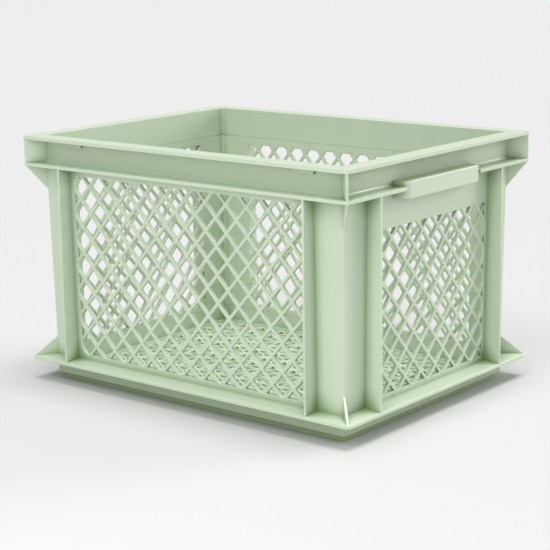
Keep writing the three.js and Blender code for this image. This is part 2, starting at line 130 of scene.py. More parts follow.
class Workpiece:
    """One mesh that is shaped by hand in edit mode, from primitives."""

    def __init__(self, name: str) -> None:
        """Starts an empty piece and opens it in edit mode.

        Args:
            name: The piece's name.
        """
        bpy.ops.object.select_all(action="DESELECT")
        self.mesh = bpy.data.meshes.new(name)
        self.obj = bpy.data.objects.new(name, self.mesh)
        bpy.context.scene.collection.objects.link(self.obj)
        bpy.context.view_layer.objects.active = self.obj
        self.obj.select_set(True)
        bpy.ops.object.mode_set(mode="EDIT")

    def _fresh(self) -> None:
        """Lets go of everything, so that a new primitive is all that is picked."""
        bpy.ops.mesh.select_mode(type="VERT")
        bpy.ops.mesh.select_all(action="DESELECT")

    def block(self, low: Vector, high: Vector) -> None:
        """Adds a box.

        Args:
            low: Its lowest corner.
            high: Its highest corner.
        """
        self._fresh()
        bpy.ops.mesh.primitive_cube_add(size=1)
        bpy.ops.transform.resize(value=tuple(high - low), center_override=(0, 0, 0))
        bpy.ops.transform.translate(value=tuple((low + high) / 2))

    def sheet(self, columns: int, rows: int, width: float, depth: float) -> None:
        """Adds a flat sheet of cells around the origin.

        Args:
            columns: The number of cells along X.
            rows: The number of cells along Y.
            width: Its size along X.
            depth: Its size along Y.
        """
        self._fresh()
        bpy.ops.mesh.primitive_grid_add(x_subdivisions=columns, y_subdivisions=rows, size=1)
        bpy.ops.transform.resize(value=(width, depth, 1), center_override=(0, 0, 0))

    def loop(self, half_x: float, half_y: float, z: float, radius: float, steps: int) -> None:
        """Adds a rounded rectangle of edges around the Z axis.

        Args:
            half_x: Half its length.
            half_y: Half its width.
            z: Its height.
            radius: The radius of its corners.
            steps: The number of edges round each corner.
        """
        self._fresh()
        bpy.ops.mesh.primitive_plane_add(size=1)
        bpy.ops.transform.resize(value=(2 * half_x, 2 * half_y, 1), center_override=(0, 0, 0))
        bpy.ops.transform.translate(value=(0, 0, z))
        bpy.ops.mesh.bevel(offset=radius, segments=steps, affect="VERTICES", offset_type="OFFSET")

    def pick(self, kind: Kind, test: Callable[..., bool]) -> int:
        """Selects the elements that pass a test, and nothing else.

        Args:
            kind: The kind of element to look through.
            test: Says whether an element is picked.

        Returns:
            The number of elements picked.
        """
        bpy.ops.mesh.select_mode(type=kind.name)
        bpy.ops.mesh.select_all(action="DESELECT")
        edit = bmesh.from_edit_mesh(self.mesh)
        edit.normal_update()
        found = [element for element in getattr(edit, kind.value) if test(element)]
        for element in found:
            element.select_set(True)
        bmesh.update_edit_mesh(self.mesh)
        return len(found)

    def move(self, by: Iterable[float]) -> None:
        """Moves what is picked."""
        bpy.ops.transform.translate(value=tuple(by))

    def spread(self, x: float, y: float, z: float) -> None:
        """Scales what is picked about the origin."""
        bpy.ops.transform.resize(value=(x, y, z), center_override=(0, 0, 0))

    def turn(self, angle: float, axis: str, about: Iterable[float] = (0, 0, 0)) -> None:
        """Turns what is picked by the right-hand rule.

        Args:
            angle: The turn, in radians.
            axis: The axis, as X, Y or Z.
            about: A point on the axis.
        """
        bpy.ops.transform.rotate(value=-angle, orient_axis=axis, center_override=tuple(about))

    def turn_all(self, angle: float, axis: str, about: Iterable[float] = (0, 0, 0)) -> None:
        """Turns the whole piece, as turn does."""
        bpy.ops.mesh.select_all(action="SELECT")
        self.turn(angle, axis, about)

    def extrude_edges(self, by: Iterable[float]) -> None:
        """Draws the picked edges out into new faces, by a distance along each axis."""
        bpy.ops.mesh.extrude_edges_move(TRANSFORM_OT_translate={"value": tuple(by)})

    def extrude_faces(self, by: Iterable[float]) -> None:
        """Draws the picked faces out into a solid."""
        bpy.ops.mesh.extrude_region_move(TRANSFORM_OT_translate={"value": tuple(by)})

    def inset_each(self, by: float) -> None:
        """Draws each picked face in from its own edges, and keeps the inner faces picked."""
        bpy.ops.mesh.inset(thickness=by, use_individual=True, use_even_offset=True)

    def inset(self, by: float) -> None:
        """Draws the picked region in from its outline."""
        bpy.ops.mesh.inset(thickness=by, use_even_offset=True)

    def drop_faces(self) -> None:
        """Deletes the picked faces."""
        bpy.ops.mesh.delete(type="FACE")

    def round_edges(self, width: float, steps: int) -> None:
        """Rounds the picked edges.

        Args:
            width: How far the rounding reaches from each edge.
            steps: The number of faces across it.
        """
        bpy.ops.mesh.bevel(offset=width, segments=steps, affect="EDGES", clamp_overlap=False)

    def cut(self, point: Iterable[float], away: Iterable[float], cap: bool = True) -> None:
        """Cuts the whole piece by a plane.

        Args:
            point: A point on the plane.
            away: The direction of the side that is thrown away.
            cap: Whether the cut is closed with a face.
        """
        bpy.ops.mesh.select_all(action="SELECT")
        bpy.ops.mesh.bisect(
            plane_co=tuple(point), plane_no=tuple(away), use_fill=cap, clear_outer=True
        )

    def bridge(self) -> None:
        """Joins the two picked loops of edges by a band of faces."""
        bpy.ops.mesh.bridge_edge_loops()

    def weld(self) -> None:
        """Joins the points that lie together and turns every face outwards."""
        bpy.ops.mesh.select_mode(type="VERT")
        bpy.ops.mesh.select_all(action="SELECT")
        bpy.ops.mesh.remove_doubles(threshold=WELD)
        bpy.ops.mesh.normals_make_consistent(inside=False)

    def done(self, smooth_below: float = SMOOTH_BELOW) -> bpy.types.Object:
        """Closes edit mode on a finished mesh.

        Args:
            smooth_below: Faces that meet at less than this many degrees shade as one.

        Returns:
            The piece.
        """
        self.weld()
        bpy.ops.object.mode_set(mode="OBJECT")
        bpy.ops.object.shade_smooth_by_angle(angle=math.radians(smooth_below))
        return self.obj


def soften(piece: bpy.types.Object, width: float, steps: int = 2, above: float = 40) -> None:
    """Rounds a piece's sharp edges with a Bevel modifier, and applies it.

    Args:
        piece: The piece.
        width: How far the rounding reaches from each edge.
        steps: The number of faces across it.
        above: Edges are rounded where the faces meet at more than this many degrees.
    """
    modifier = piece.modifiers.new("soft edges", "BEVEL")
    modifier.width = width
    modifier.segments = steps
    modifier.limit_method = "ANGLE"
    modifier.angle_limit = math.radians(above)
    modifier.use_clamp_overlap = True
    bpy.context.view_layer.objects.active = piece
    piece.select_set(True)
    bpy.ops.object.modifier_apply(modifier=modifier.name)
    bpy.ops.object.shade_smooth_by_angle(angle=math.radians(above))


def carve(piece: bpy.types.Object, cutter: bpy.types.Object) -> None:
    """Cuts one piece out of another with a Boolean modifier, applies it and throws the cutter away.

    Args:
        piece: The piece that is cut.
        cutter: The solid that is taken out of it.
    """
    modifier = piece.modifiers.new("cut", "BOOLEAN")
    modifier.operation = "DIFFERENCE"
    modifier.solver = "EXACT"
    modifier.object = cutter
    bpy.ops.object.select_all(action="DESELECT")
    bpy.context.view_layer.objects.active = piece
    piece.select_set(True)
    bpy.ops.object.modifier_apply(modifier=modifier.name)
    bpy.data.meshes.remove(cutter.data)


def join(name: str, pieces: list[bpy.types.Object]) -> bpy.types.Object:
    """Joins pieces into the first of them.

    Args:
        name: The name of the joined piece.
        pieces: The pieces.

    Returns:
        The joined piece.
    """
    bpy.ops.object.select_all(action="DESELECT")
    for piece in pieces:
        piece.select_set(True)
    bpy.context.view_layer.objects.active = pieces[0]
    bpy.ops.object.join()
    pieces[0].name = name
    return pieces[0]


@dataclass(frozen=True)
class Layout:
    """The sizes that the crate's pieces share, taken from the frame where it holds them."""

    length: float
    width: float
    height: float
    rim_low: float
    wall_low: float
    rim_depth: float = 15 * MM
    draft: float = 2.5 * MM
    wall: float = 3.5 * MM
    post_radius: float = 4 * MM
    inner_radius: float = 2 * MM
    corner_reach: float = 40 * MM
    rim_corner: float = 3 * MM
    base_corner: float = 5 * MM
    plate_gap: float = 0.3 * MM
    corner_steps: int = 6

    @classmethod
    def of_frame(cls) -> "Layout":
        """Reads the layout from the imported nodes.

        Returns:
            The layout.
        """
        low, high = (Vector(corner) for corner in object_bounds())
        wall_low, wall_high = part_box("front_grid_wall")
        return cls(
            length=high.x - low.x,
            width=high.y - low.y,
            height=high.z,
            rim_low=wall_high.z,
            wall_low=wall_low.z,
        )

    @property
    def lean(self) -> float:
        """The walls' lean from upright, in radians."""
        return math.atan(self.draft / (self.rim_low - self.wall_low))

    @property
    def post_axis(self) -> float:
        """How far in from both edges a corner post's own axis lies."""
        return self.rim_depth + self.post_radius

    def diagonal(self, corner_radius: float) -> float:
        """How far a plate reaches from a post's axis, to a flange whose corner has this radius."""
        return (self.post_axis - corner_radius) * math.sqrt(2) + corner_radius - self.plate_gap

    def run(self, side: Side) -> float:
        """The length of a side."""
        return self.width if side.is_short else self.length

    def out(self, side: Side) -> float:
        """How far a side's outer edge lies from the middle."""
        return (self.length if side.is_short else self.width) / 2


@dataclass(frozen=True)
class Station:
    """A corner point of a ring's section: how far in it lies, its height and its corner radius."""

    inset: float
    z: float
    radius: float


def ring(name: str, layout: Layout, stations: list[Station]) -> bpy.types.Object:
    """Builds a closed ring round the crate from the corner points of its section.

    Args:
        name: The piece's name.
        layout: The crate's shared sizes.
        stations: The section, in order round it.

    Returns:
        The ring.
    """
    piece = Workpiece(name)
    levels = [STACK_START + index * STACK_STEP for index in range(len(stations))]
    for station, level in zip(stations, levels):
        half_x = layout.length / 2 - station.inset
        half_y = layout.width / 2 - station.inset
        piece.loop(half_x, half_y, level, station.radius, layout.corner_steps)
    piece.pick(Kind.FACE, lambda face: True)
    bpy.ops.mesh.delete(type="ONLY_FACE")

    def at(level: float) -> Callable[[bmesh.types.BMVert], bool]:
        """A test for the points at one level of the stack."""
        return lambda vert: abs(vert.co.z - level) < STACK_STEP / 10

    for here, there in zip(levels, levels[1:] + levels[:1]):
        piece.pick(
            Kind.EDGE,
            lambda edge: all(map(at(here), edge.verts)) or all(map(at(there), edge.verts)),
        )
        piece.bridge()
    for station, level in zip(stations, levels):
        piece.pick(Kind.VERT, at(level))
        piece.move((0, 0, station.z - level))
    return piece.done()


def diagonal_plate(
    name: str,
    corner: Corner,
    reach: tuple[float, float],
    heights: tuple[float, float],
    thickness: float,
    slope: tuple[Iterable[float], Iterable[float]] | None,
    layout: Layout,
) -> bpy.types.Object:
    """Builds an upright plate that runs out from a corner post along the diagonal.

    Args:
        name: The piece's name.
        corner: The corner.
        reach: Where the plate starts and ends, measured from the post's axis.
        heights: Its lowest and highest points.
        thickness: Its thickness.
        slope: A point on a slanting cut and the direction thrown away, if the plate has one.
        layout: The crate's shared sizes.

    Returns:
        The plate.
    """
    piece = Workpiece(name)
    piece.block(
        Vector((reach[0], -thickness / 2, heights[0])),
        Vector((reach[1], thickness / 2, heights[1])),
    )
    if slope:
        piece.cut(*slope)
    sign_x, sign_y = corner.value
    piece.turn_all(math.atan2(sign_y, sign_x), "Z")
    axis = layout.post_axis
    piece.move((sign_x * (layout.length / 2 - axis), sign_y * (layout.width / 2 - axis), 0))
    return piece.done()


class Signal:
    """The output of a shader node, which adds and multiplies as a number does."""

    def __init__(self, shader: "Shader", socket: bpy.types.NodeSocket) -> None:
        """Wraps a socket.

        Args:
            shader: The shader that the socket's node belongs to.
            socket: The output socket.
        """
        self.shader = shader
        self.socket = socket

    def _maths(self, operation: str, first: Number, second: Number) -> "Signal":
        """Adds a Math node for one operation."""
        return self.shader.node("ShaderNodeMath", {"operation": operation}, {0: first, 1: second})

    def __add__(self, other: Number) -> "Signal":
        """self + other."""
        return self._maths("ADD", self, other)

    def __radd__(self, other: Number) -> "Signal":
        """other + self."""
        return self._maths("ADD", other, self)

    def __sub__(self, other: Number) -> "Signal":
        """self - other."""
        return self._maths("SUBTRACT", self, other)

    def __rsub__(self, other: Number) -> "Signal":
        """other - self."""
        return self._maths("SUBTRACT", other, self)

    def __mul__(self, other: Number) -> "Signal":
        """self * other."""
        return self._maths("MULTIPLY", self, other)

    def __rmul__(self, other: Number) -> "Signal":
        """other * self."""
        return self._maths("MULTIPLY", other, self)


class Shader:
    """A material's node tree, built around one Principled shader."""

    def __init__(self, name: str) -> None:
        """Starts a material with a Principled shader joined to its output.

        Args:
            name: The material's name.
        """
        self.material = bpy.data.materials.new(name)
        self.material.use_nodes = True
        self.tree = self.material.node_tree
        self.tree.nodes.clear()
        self.surface = self.tree.nodes.new("ShaderNodeBsdfPrincipled")
        output = self.tree.nodes.new("ShaderNodeOutputMaterial")
        self.tree.links.new(self.surface.outputs[0], output.inputs[0])

    def join(self, node: bpy.types.Node, key: Union[int, str], value: object) -> None:
        """Sets or links one input socket of a node.

        Args:
            node: The node.
            key: The socket's number or name.
            value: A signal that is linked, or a value that is set.
        """
        if isinstance(value, Signal):
            self.tree.links.new(value.socket, node.inputs[key])
        else:
            node.inputs[key].default_value = value

    def node(
        self, kind: str, settings: dict[str, object], inputs: dict, output: Union[int, str] = 0
    ) -> Signal:
        """Adds a node.

        Args:
            kind: The node's type.
            settings: Its settings, set before its sockets.
            inputs: A value or a signal for each input that is used.
            output: The output that is wanted.

        Returns:
            That output.
        """
        made = self.tree.nodes.new(kind)
        for setting, value in settings.items():
            setattr(made, setting, value)
        for key, value in inputs.items():
            self.join(made, key, value)
        return Signal(self, made.outputs[output])

    def place(self) -> Signal:
        """Object coordinates, in metres."""
        return self.node("ShaderNodeTexCoord", {}, {}, "Object")

    def noise(self, scale: float, detail: float) -> Signal:
        """Noise between 0 and 1, by object coordinates.

        Args:
            scale: Its scale, per metre.
            detail: The number of finer layers.

        Returns:
            The noise.
        """
        inputs = {"Vector": self.place(), "Scale": scale, "Detail": detail}
        return self.node("ShaderNodeTexNoise", {}, inputs, "Fac")

    def openness(self, reach: float) -> Signal:
        """How open the surface is around a point, by ambient occlusion: 0 where it is closed in, 1
        on an open face.

        Args:
            reach: How far off a neighbouring face still counts.

        Returns:
            The openness.
        """
        settings = {"samples": OPENNESS_SAMPLES}
        return self.node("ShaderNodeAmbientOcclusion", settings, {"Distance": reach}, "AO")

    def blend(self, share: Number, first: Colour, second: Colour) -> Signal:
        """A colour between two colours.

        Args:
            share: 0 for the first colour, 1 for the second.
            first: The first colour.
            second: The second colour.

        Returns:
            The mixed colour.
        """
        ends = {
            key: colour if isinstance(colour, Signal) else (*colour, 1)
            for key, colour in zip(MIX_COLOURS, (first, second))
        }
        return self.node("ShaderNodeMix", {"data_type": "RGBA"}, {0: share, **ends}, MIX_RESULT)

    def dress(self, **inputs: object) -> bpy.types.Material:
        """Sets or links the Principled shader's inputs.

        Args:
            **inputs: The value or signal of each input, with _ for a space in its name.

        Returns:
            The material.
        """
        for key, value in inputs.items():
            self.join(self.surface, key.replace("_", " "), value)
        return self.material


@dataclass(frozen=True)
class MouldedPlastic:
    """Satin polypropylene as it leaves the mould: fine grain and faint clouding, with painted shade
    darkening its recesses, creases and corners.
    """

    name: str = "sage_plastic"
    pale: tuple[float, float, float] = (0.600, 0.697, 0.538)
    deep: tuple[float, float, float] = (0.582, 0.682, 0.520)
    # Painted shade: the dark green that ambient occlusion paints into recesses, creases and
    # corners, how far the occlusion looks, and the openness at which the painted shade is full and
    # at which it stops.
    recess: tuple[float, float, float] = (0.225, 0.325, 0.150)
    recess_reach: float = 23 * MM
    recess_at: float = 0.35
    face_at: float = 0.72
    roughness: float = 0.34
    roughness_drift: float = 0.03
    specular: float = 0.6
    cloud_scale: float = 22
    cloud_detail: float = 3
    grain_scale: float = 1600
    grain_detail: float = 2
    grain_height: float = 0.05
    grain_depth: float = 0.2 * MM

    @classmethod
    def of_floor(cls) -> "MouldedPlastic":
        """The same plastic on the floor's thin bars, painted slightly lighter as painted light,
        with a lighter painted shade that reaches less far into its gaps.

        Returns:
            The finish.
        """
        return cls(
            name="sage_plastic_floor",
            # Painted light and shade: the floor's faces are painted a little lighter than the
            # walls, and its gaps get a lighter, shorter-reaching painted shade.
            pale=(0.610, 0.708, 0.540),
            deep=(0.592, 0.692, 0.522),
            recess=(0.270, 0.355, 0.155),
            recess_reach=9 * MM,
        )

    def material(self) -> bpy.types.Material:
        """Builds the material.

        Returns:
            The material.
        """
        shader = Shader(self.name)
        cloud = shader.noise(self.cloud_scale, self.cloud_detail)
        grain = shader.noise(self.grain_scale, self.grain_detail)
        bump = shader.node(
            "ShaderNodeBump",
            {},
            {"Strength": self.grain_height, "Distance": self.grain_depth, "Height": grain},
        )
        # Painted shade: where ambient occlusion closes in, Base Color is blended from the clouded
        # plastic colour towards the dark painted shade colour.
        openness = shader.openness(self.recess_reach) - self.recess_at
        unshaded_share = openness * (1 / (self.face_at - self.recess_at))
        face_colour = shader.blend(cloud, self.deep, self.pale)
        return shader.dress(
            Base_Color=shader.blend(unshaded_share, self.recess, face_colour),
            Roughness=self.roughness - self.roughness_drift / 2 + cloud * self.roughness_drift,
            Normal=bump,
            Specular_IOR_Level=self.specular,
        )


@dataclass
class Region:
    """One region of the moulding. It builds its piece, dresses it and names what it stands for."""

    layout: Layout

    def build(self) -> bpy.types.Object:
        """Builds the region's piece."""
        raise NotImplementedError

    def nodes(self) -> list[str]:
        """The frame's nodes that the piece stands for."""
        raise NotImplementedError

    def finish(self) -> MouldedPlastic:
        """The region's finish."""
        return MouldedPlastic()

    def dress(self, piece: bpy.types.Object, material: bpy.types.Material) -> None:
        """Gives the piece its material and sets it on the frame's body in place of its nodes.

        Args:
            piece: The region's piece.
            material: The material of its finish.
        """
        piece.data.materials.clear()
        piece.data.materials.append(material)
        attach(piece, BODY)
        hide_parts(*self.nodes())


@dataclass
class Rim(Region):
    """The stacking rim: two flanges, the band between them, corner webs and small blocks."""

    edge: float = 3.5 * MM
    gap: float = 23.3 * MM
    band_wall: float = 2.5 * MM
    fillet: float = 3 * MM
    fillet_steps: int = 4
    web: float = 2.4 * MM
    block_length: float = 23 * MM
    block_depth: float = 2.6 * MM
    block_height: float = 5.5 * MM
    block_from_end: float = 57.5 * MM
    grip_overlap: float = 2.5 * MM
    bite: float = 1 * MM
    softness: float = 0.6 * MM
    extra_softness: float = 0.4 * MM

    @property
    def band_top(self) -> float:
        """The height of the top flange's underside."""
        return self.layout.height - self.edge

    @property
    def flange_top(self) -> float:
        """The height of the lower flange's upper face."""
        return self.band_top - self.gap

    def section(self) -> list[Station]:
        """Lays out the rim's section, from the top flange's underside round to the band.

        Returns:
            The corner points of the section.
        """
        plan = self.layout
        inner = plan.rim_depth + self.band_wall
        fillet = []
        for step in range(self.fillet_steps + 1):
            angle = step / self.fillet_steps * math.pi / 2
            inset = plan.rim_depth - self.fillet * (1 - math.sin(angle))
            height = self.flange_top + self.fillet * (1 - math.cos(angle))
            fillet.append(Station(inset, height, plan.post_radius))
        return [
            Station(0, self.band_top, plan.rim_corner),
            Station(0, plan.height, plan.rim_corner),
            Station(inner, plan.height, plan.inner_radius),
            Station(inner, plan.rim_low, plan.inner_radius),
            Station(0, plan.rim_low, plan.rim_corner),
            Station(0, self.flange_top, plan.rim_corner),
            *fillet,
            Station(plan.rim_depth, self.band_top, plan.post_radius),
        ]

    def corner_web(self, corner: Corner) -> bpy.types.Object:
        """Builds the diagonal web between the flanges at one corner.

        Args:
            corner: The corner.

        Returns:
            The web.
        """
        plan = self.layout
        return diagonal_plate(
            f"{corner.label}_rim_web",
            corner,
            (plan.post_radius - self.band_wall / 2, plan.diagonal(plan.rim_corner)),
            (self.flange_top - self.bite, self.band_top + self.bite),
            self.web,
            None,
            plan,
        )

    def block(self, side: Side, end: int) -> bpy.types.Object:
        """Builds the small block under the top flange, near one end of a long side.

        Args:
            side: The long side.
            end: 1 for the end at the right, seen from outside, or -1 for the left.

        Returns:
            The block.
        """
        plan = self.layout
        middle = end * (plan.run(side) / 2 - self.block_from_end)
        half = self.block_length / 2
        face = -plan.out(side) + plan.rim_depth
        low = self.band_top - self.block_height
        piece = Workpiece(f"{side.label}_rim_block_{end}")
        piece.block(
            Vector((middle - half, face - self.block_depth, low)),
            Vector((middle + half, face + self.bite, self.band_top + self.bite)),
        )
        piece.turn_all(side.turn, "Z")
        return piece.done()

    def grip_room(self, side: Side) -> bpy.types.Object:
        """Builds the space that a grip takes up outside the band.

        Args:
            side: The short side.

        Returns:
            The space, as a solid that is cut out of the rim.
        """
        low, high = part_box(f"{side.label}_grip")
        half = (high.y - low.y) / 2 - self.grip_overlap
        outer = -self.layout.out(side)
        piece = Workpiece(f"{side.label}_grip_room")
        piece.block(
            Vector((-half, outer - self.layout.rim_depth, low.z)),
            Vector((half, outer + self.layout.rim_depth, high.z)),
        )
        piece.turn_all(side.turn, "Z")
        return piece.done()

    def build(self) -> bpy.types.Object:
        """Builds the whole rim as one piece.

        Returns:
            The rim.
        """
        body = ring("rim", self.layout, self.section())
        for side in (Side.RIGHT, Side.LEFT):
            carve(body, self.grip_room(side))
        extras = [self.corner_web(corner) for corner in Corner]
        extras += [self.block(side, end) for side in (Side.FRONT, Side.REAR) for end in (-1, 1)]
        soften(body, self.softness, SOFT_STEPS)
        for extra in extras:
            soften(extra, self.extra_softness)
        return join("rim", [body, *extras])

    def nodes(self) -> list[str]:
        """The frame's nodes that the rim stands for."""
        return [f"{side.label}_rim" for side in Side] + [f"{c.label}_rim_corner" for c in Corner]


@dataclass
class Base(Region):
    """The base flange with its sloped top, the ledge under it and the stacking foot."""

    underside: float = 20.5 * MM
    edge: float = 3.5 * MM
    skirt_bottom: float = 6 * MM
    ledge: float = 3 * MM
    foot_inset: float = 4 * MM
    foot_wall: float = 3 * MM
    softness: float = 0.6 * MM

    @property
    def foot_inside(self) -> float:
        """How far in the foot's inner face lies."""
        plan = self.layout
        return plan.rim_depth + plan.draft + self.foot_inset + self.foot_wall

    def section(self) -> list[Station]:
        """Lays out the base's section, from the flange's underside round to the skirt.

        Returns:
            The corner points of the section.
        """
        plan = self.layout
        skirt = plan.rim_depth + plan.draft
        foot = skirt + self.foot_inset
        ledge_top = self.skirt_bottom + self.ledge
        return [
            Station(0, self.underside, plan.base_corner),
            Station(0, self.underside + self.edge, plan.base_corner),
            Station(skirt, plan.wall_low, plan.post_radius),
            Station(skirt + plan.wall, plan.wall_low, plan.inner_radius),
            Station(skirt + plan.wall, ledge_top, plan.inner_radius),
            Station(self.foot_inside, ledge_top, plan.inner_radius),
            Station(self.foot_inside, 0, plan.inner_radius),
            Station(foot, 0, plan.post_radius),
            Station(foot, self.skirt_bottom, plan.post_radius),
            Station(skirt, self.skirt_bottom, plan.post_radius),
            Station(skirt, self.underside, plan.post_radius),
        ]

    def build(self) -> bpy.types.Object:
        """Builds the whole base as one piece.

        Returns:
            The base.
        """
        body = ring("base", self.layout, self.section())
        soften(body, self.softness, SOFT_STEPS)
        return body

    def nodes(self) -> list[str]:
        """The frame's nodes that the base stands for."""
        return [f"{side.label}_base" for side in Side] + [f"{c.label}_base_corner" for c in Corner]


@dataclass
class GridWall(Region):
    """A wall of crossing bars, cut by its border, leaning in towards the base."""

    side: Side
    pitch_x: float = 25 * MM
    pitch_z: float = 27 * MM
    bar: float = 3.2 * MM
    long_rib_from_end: float = 48.6 * MM
    short_rib_from_end: float = 50 * MM
    border_to_rib: float = 6.55 * MM
    below_flange: float = 7.7 * MM
    below_grip: float = 34.7 * MM
    above_base: float = 5.5 * MM
    row_offset: float = 4.5 * MM
    hole_corner: float = 1.4 * MM
    front_round: float = 1.0 * MM
    back_round: float = 0.5 * MM
    front_steps: int = 3
    back_steps: int = 1
    least_cell: float = 50 * MM * MM
    cell_slack: float = 0.1 * MM
    smooth_below: float = 50

    @classmethod
    def of_side(cls, layout: Layout, side: Side) -> "GridWall":
        """Sizes the wall of one side. The rear wall's diamonds are narrower and sit higher.

        Args:
            layout: The crate's shared sizes.
            side: The side.

        Returns:
            The wall.
        """
        if side is Side.REAR:
            return cls(layout, side, pitch_x=21.85 * MM, row_offset=8.3 * MM)
        return cls(layout, side)

    @property
    def half_grid(self) -> float:
        """Half the length of the grid."""
        from_end = self.short_rib_from_end if self.side.is_short else self.long_rib_from_end
        return self.layout.run(self.side) / 2 - from_end - self.border_to_rib

    @property
    def top(self) -> float:
        """The height of the grid's upper border."""
        drop = self.below_grip if self.side is Side.RIGHT else self.below_flange
        return self.layout.rim_low - drop

    @property
    def bottom(self) -> float:
        """The height of the grid's lower border."""
        return self.layout.wall_low + self.above_base

    def cells(self, piece: Workpiece) -> None:
        """Lays out the whole cells and those that the border cuts, flat, with height along Y.

        Args:
            piece: The empty piece.
        """
        count = 2 * math.ceil((self.half_grid + self.top - self.bottom) / self.pitch_x)
        cell = math.sqrt(2)  # Its diagonal is 2, so half a pitch scales it to the pitch.
        piece.sheet(count, count, count * cell, count * cell)
        piece.turn(math.pi / 4, "Z")
        piece.spread(self.pitch_x / 2, self.pitch_z / 2, 1)
        top_row = self.top + self.row_offset
        shift = 0 if self.side.is_short else self.pitch_x / 2
        rows_down = round((self.top - self.bottom) / 2 / self.pitch_z)
        piece.move((shift, top_row - rows_down * self.pitch_z, 0))
        spare = self.bar / 2
        piece.cut((self.half_grid + spare, 0, 0), (1, 0, 0), cap=False)
        piece.cut((-self.half_grid - spare, 0, 0), (-1, 0, 0), cap=False)
        piece.cut((0, self.top + spare, 0), (0, 1, 0), cap=False)
        piece.cut((0, self.bottom - spare, 0), (0, -1, 0), cap=False)

    def margins(self, piece: Workpiece) -> None:
        """Draws the border out to the posts, the rim and the base.

        Args:
            piece: The flat cells.
        """
        spare = self.bar / 2
        plan = self.layout
        half_plate = plan.run(self.side) / 2 - plan.corner_reach
        edge_x = self.half_grid + spare

        def draw(test: Callable[[Vector], bool], by: tuple[float, float, float]) -> None:
            """Draws out the border's edges whose points pass a test."""
            piece.pick(Kind.EDGE, lambda e: e.is_boundary and all(test(v.co) for v in e.verts))
            piece.extrude_edges(by)

        draw(lambda co: abs(co.x - edge_x) < ON_PLANE, (half_plate - edge_x, 0, 0))
        draw(lambda co: abs(co.x + edge_x) < ON_PLANE, (edge_x - half_plate, 0, 0))
        high = self.top + spare
        low = self.bottom - spare
        draw(lambda co: abs(co.y - high) < ON_PLANE, (0, plan.rim_low - high, 0))
        draw(lambda co: abs(co.y - low) < ON_PLANE, (0, plan.wall_low - low, 0))

    def open_cells(self, piece: Workpiece) -> int:
        """Opens a hole in each cell and gives the plate its thickness.

        Args:
            piece: The flat plate.

        Returns:
            The number of holes.
        """
        spare = self.bar / 2 + self.cell_slack
        inside_x = self.half_grid + spare
        low, high = self.bottom - spare, self.top + spare

        def is_cell(face: bmesh.types.BMFace) -> bool:
            """Tells whether a face is a cell that is opened.

            Args:
                face: The face.

            Returns:
                Whether it is large enough and lies within the border.
            """
            if face.calc_area() < self.least_cell:
                return False
            return all(abs(v.co.x) < inside_x and low < v.co.y < high for v in face.verts)

        holes = piece.pick(Kind.FACE, is_cell)
        piece.inset_each(self.bar / 2)
        piece.drop_faces()
        piece.pick(Kind.FACE, lambda face: True)
        piece.extrude_faces((0, 0, -self.layout.wall))
        piece.weld()
        return holes

    def round_holes(self, piece: Workpiece) -> None:
        """Rounds the corners of the holes, and then the bars' edges.

        Args:
            piece: The plate with its holes.
        """
        plan = self.layout
        half_plate = plan.run(self.side) / 2 - plan.corner_reach

        def on_rim(co: Vector) -> bool:
            """Whether a point lies on the plate's outer edge."""
            at_end = abs(abs(co.x) - half_plate) < NEAR
            return at_end or abs(co.y - plan.rim_low) < NEAR or abs(co.y - plan.wall_low) < NEAR

        def is_upright(edge: bmesh.types.BMEdge) -> bool:
            """Whether an edge runs through the plate at a hole's corner."""
            first, second = (v.co for v in edge.verts)
            return abs(first.z - second.z) > plan.wall / 2 and not on_rim(first)

        piece.pick(Kind.EDGE, is_upright)
        piece.round_edges(self.hole_corner, self.front_steps)

        def lip(z: float) -> Callable[[bmesh.types.BMEdge], bool]:
            """Makes the test for the holes' edges on one of the plate's two faces.

            Args:
                z: The height of that face.

            Returns:
                The test.
            """

            def test(edge: bmesh.types.BMEdge) -> bool:
                """Tells whether an edge bounds a hole on that face.

                Args:
                    edge: The edge.

                Returns:
                    Whether it does.
                """
                if any(abs(v.co.z - z) > NEAR or on_rim(v.co) for v in edge.verts):
                    return False
                flat = [abs(face.normal.z) > LEVEL for face in edge.link_faces]
                return any(flat) and not all(flat)

            return test

        piece.pick(Kind.EDGE, lip(0))
        piece.round_edges(self.front_round, self.front_steps)
        piece.pick(Kind.EDGE, lip(-plan.wall))
        piece.round_edges(self.back_round, self.back_steps)

    def stand(self, piece: Workpiece) -> None:
        """Stands the plate up on its side of the crate, leaning in towards the base.

        Args:
            piece: The finished plate, flat.
        """
        plan = self.layout
        face = -plan.out(self.side) + plan.rim_depth
        piece.turn_all(math.pi / 2, "X")
        piece.move((0, face, 0))
        piece.turn(plan.lean, "X", (0, face, plan.rim_low))
        piece.turn(self.side.turn, "Z")

    def build(self) -> bpy.types.Object:
        """Builds the wall.

        Returns:
            The wall.
        """
        piece = Workpiece(f"{self.side.label}_bars")
        self.cells(piece)
        self.margins(piece)
        holes = self.open_cells(piece)
        self.round_holes(piece)
        self.stand(piece)
        LOG.info("%s wall: %d holes", self.side.label, holes)
        return piece.done(self.smooth_below)

    def nodes(self) -> list[str]:
        """The frame's node that the wall stands for."""
        return [f"{self.side.label}_grid_wall"]


